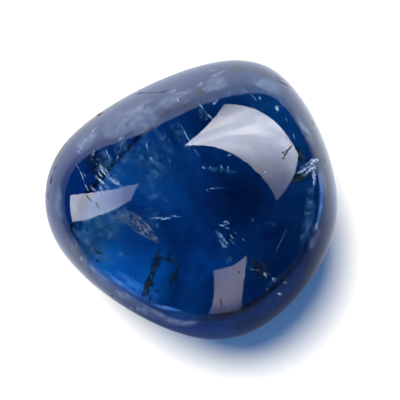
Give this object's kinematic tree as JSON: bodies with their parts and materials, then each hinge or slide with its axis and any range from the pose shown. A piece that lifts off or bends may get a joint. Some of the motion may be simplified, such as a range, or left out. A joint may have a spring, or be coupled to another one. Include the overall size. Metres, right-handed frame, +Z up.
{
  "type": "tumbled sapphire",
  "caption": "Smooth rounded-triangle pebble of clear deep-blue crystal, domed on top, with a small worn flat underneath that it rests on.",
  "frame": {"origin": "on the surface the stone rests on, under the middle of the stone's box", "axes": "+Z up out of the domed top, +X along the stone's longest extent towards its blunt end, the narrower nose points to -X"},
  "size_m": [0.022, 0.021, 0.0122],
  "materials": {
    "sapphire": "clear tumble-polished blue crystal with small natural inclusions"
  },
  "bodies": {
    "root": {"sapphire": "sapphire"}
  },
  "joints": []
}
